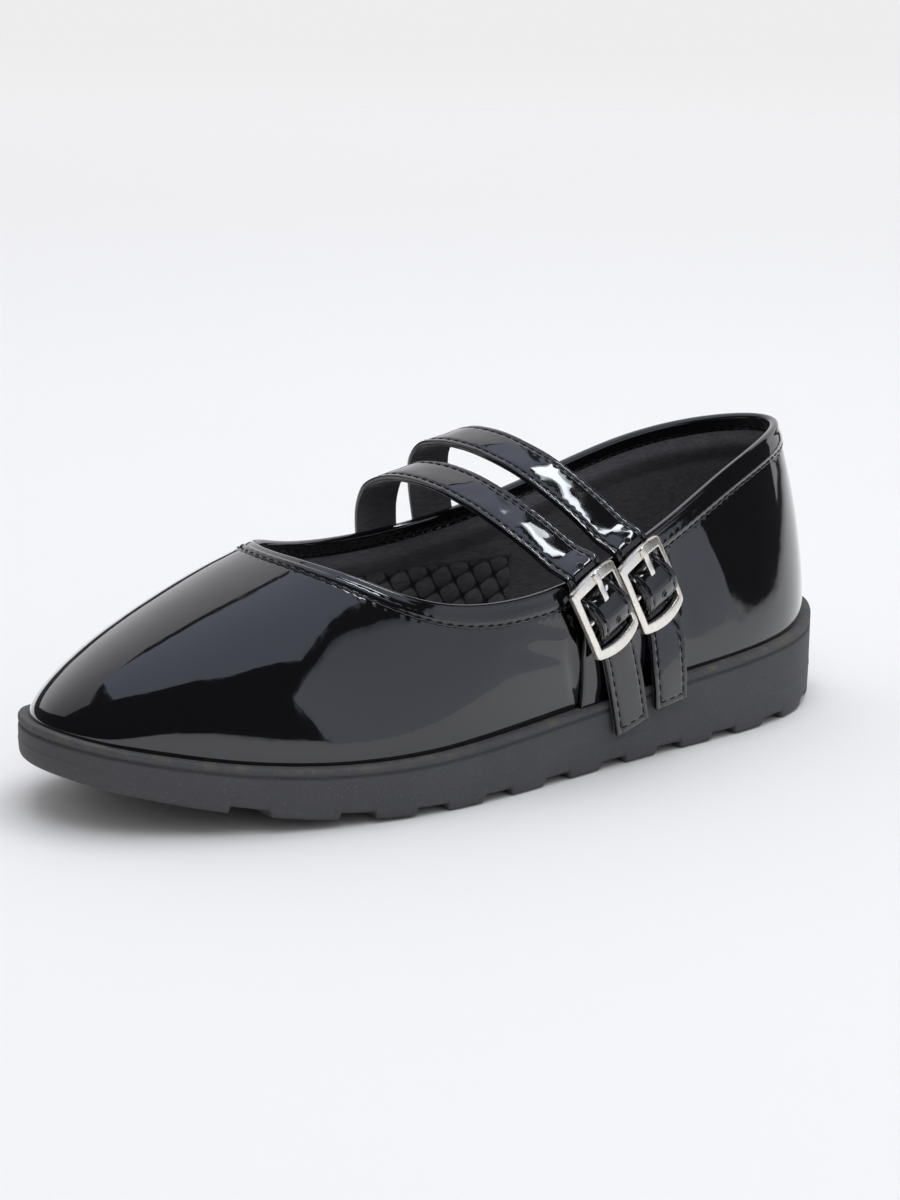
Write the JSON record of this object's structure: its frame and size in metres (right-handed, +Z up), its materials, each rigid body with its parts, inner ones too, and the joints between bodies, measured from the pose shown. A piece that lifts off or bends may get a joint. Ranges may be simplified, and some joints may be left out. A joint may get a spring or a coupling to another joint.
{
  "type": "mary jane shoe",
  "caption": "Round-toed low shoe with an open throat, buckled instep straps and a cleated wedge sole, for the left foot.",
  "frame": {"origin": "middle of the footprint's bounding box, on the floor", "axes": "+X from the toe to the heel, +Y to the medial side, +Z up"},
  "size_m": [0.262, 0.097, 0.0862],
  "materials": {
    "patent_upper": "high-gloss black patent",
    "patent_strap": "high-gloss black patent, edge stitched",
    "outsole_rubber": "matte charcoal moulded rubber",
    "lining_textile": "black napped textile",
    "stitch_thread": "black waxed thread",
    "buckle_metal": "polished pale nickel"
  },
  "bodies": {
    "root": {"outsole": "outsole_rubber", "insole": "lining_textile", "upper": "patent_upper", "strap_front": "patent_strap", "buckle_tab_front": "patent_strap", "buckle_front": "buckle_metal", "prong_front": "buckle_metal", "strap_rear": "patent_strap", "buckle_tab_rear": "patent_strap", "buckle_rear": "buckle_metal", "prong_rear": "buckle_metal"}
  },
  "joints": []
}
